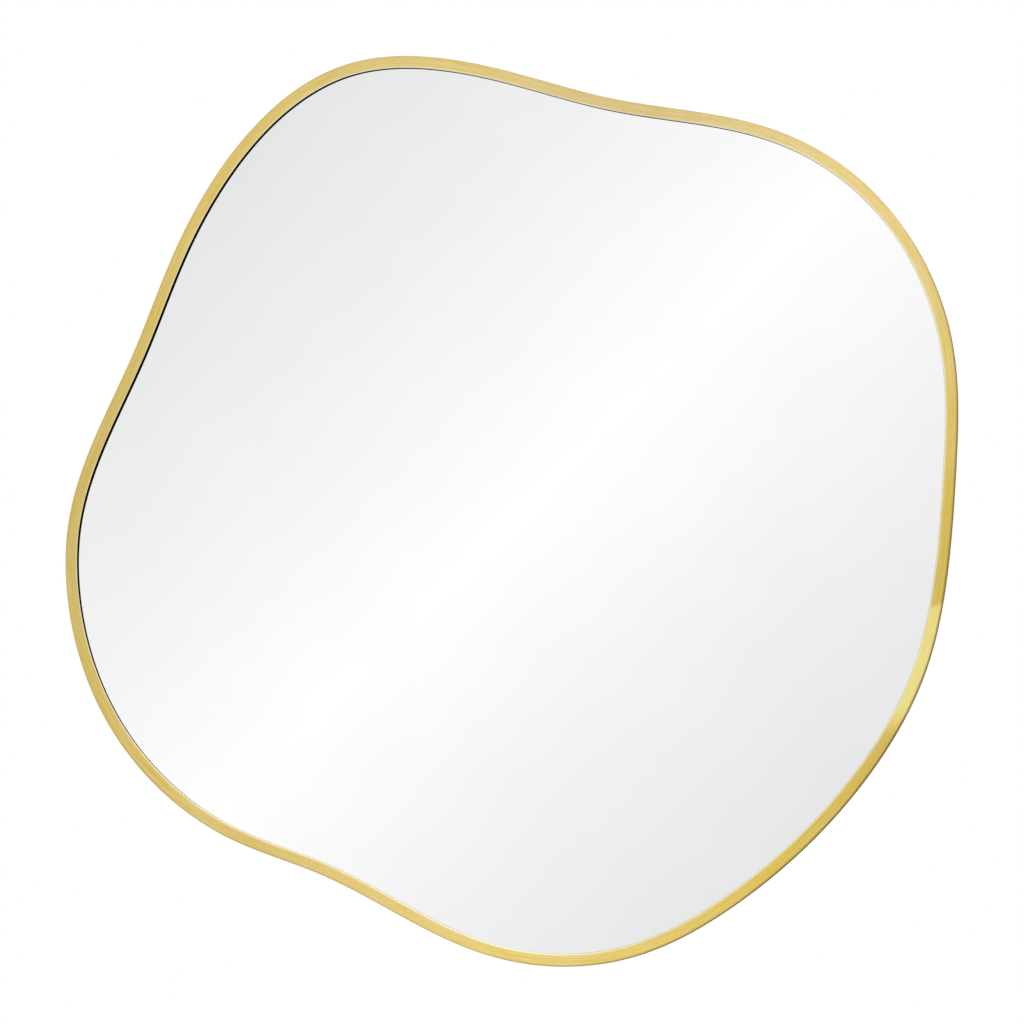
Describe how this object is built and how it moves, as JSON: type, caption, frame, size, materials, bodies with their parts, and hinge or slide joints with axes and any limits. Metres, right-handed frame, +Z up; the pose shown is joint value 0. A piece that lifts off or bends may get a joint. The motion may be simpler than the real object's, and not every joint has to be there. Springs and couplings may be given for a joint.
{
  "type": "irregular wall mirror",
  "caption": "Irregular rounded wall mirror: flat glass set back in a bent tube frame with a brushed brass finish, on a backing board with swinging ring hangers.",
  "frame": {"origin": "on the wall plane behind the mirror, at the middle of the outline's width and height", "axes": "+Y from the front into the wall, +Z up, +X to the right as seen from the front"},
  "size_m": [0.8964, 0.024, 0.9139],
  "materials": {
    "brushed_brass": "steel tube with a brushed brass-coloured coating",
    "bright_steel": "bright zinc plated",
    "silvered_glass": "clear float glass, silvered on its back",
    "grey_film": "matt film",
    "white_foam": "double-sided foam tape",
    "black_board": "fibreboard with a matt black face",
    "galvanised_steel": "galvanised",
    "black_rubber": "matt"
  },
  "bodies": {
    "mirror": {"frame_bar": "brushed_brass", "frame_joiner": "bright_steel", "joiner_screw_1": "bright_steel", "joiner_screw_2": "bright_steel", "mirror_glass": "silvered_glass", "safety_film": "grey_film", "adhesive_strip_1": "white_foam", "adhesive_strip_2": "white_foam", "adhesive_strip_3": "white_foam", "adhesive_strip_4": "white_foam", "adhesive_strip_5": "white_foam", "backing_board": "black_board", "retaining_tab_1": "galvanised_steel", "retaining_tab_2": "galvanised_steel", "retaining_tab_3": "galvanised_steel", "retaining_tab_4": "galvanised_steel", "retaining_tab_5": "galvanised_steel", "retaining_tab_6": "galvanised_steel", "retaining_tab_7": "galvanised_steel", "retaining_tab_8": "galvanised_steel", "tab_screw_1": "bright_steel", "tab_screw_2": "bright_steel", "tab_screw_3": "bright_steel", "tab_screw_4": "bright_steel", "tab_screw_5": "bright_steel", "tab_screw_6": "bright_steel", "tab_screw_7": "bright_steel", "tab_screw_8": "bright_steel", "hanger_strap_left": "galvanised_steel", "hanger_strap_right": "galvanised_steel", "hanger_screw_left_1": "bright_steel", "hanger_screw_left_2": "bright_steel", "hanger_screw_right_1": "bright_steel", "hanger_screw_right_2": "bright_steel", "wall_bumper_1": "black_rubber", "wall_bumper_2": "black_rubber", "wall_bumper_3": "black_rubber", "wall_bumper_4": "black_rubber"},
    "ring_left": {"hanger_ring_left": "bright_steel"},
    "ring_right": {"hanger_ring_right": "bright_steel"}
  },
  "joints": [
    {"name": "ring_left_swing", "type": "hinge", "parent": "mirror", "child": "ring_left", "pos_m": [-0.20972, -0.0043, 0.21504], "axis": [-1, 0, 0], "range_deg": [0, 182]},
    {"name": "ring_right_swing", "type": "hinge", "parent": "mirror", "child": "ring_right", "pos_m": [0.23104, -0.0043, 0.21504], "axis": [-1, 0, 0], "range_deg": [0, 182]}
  ]
}
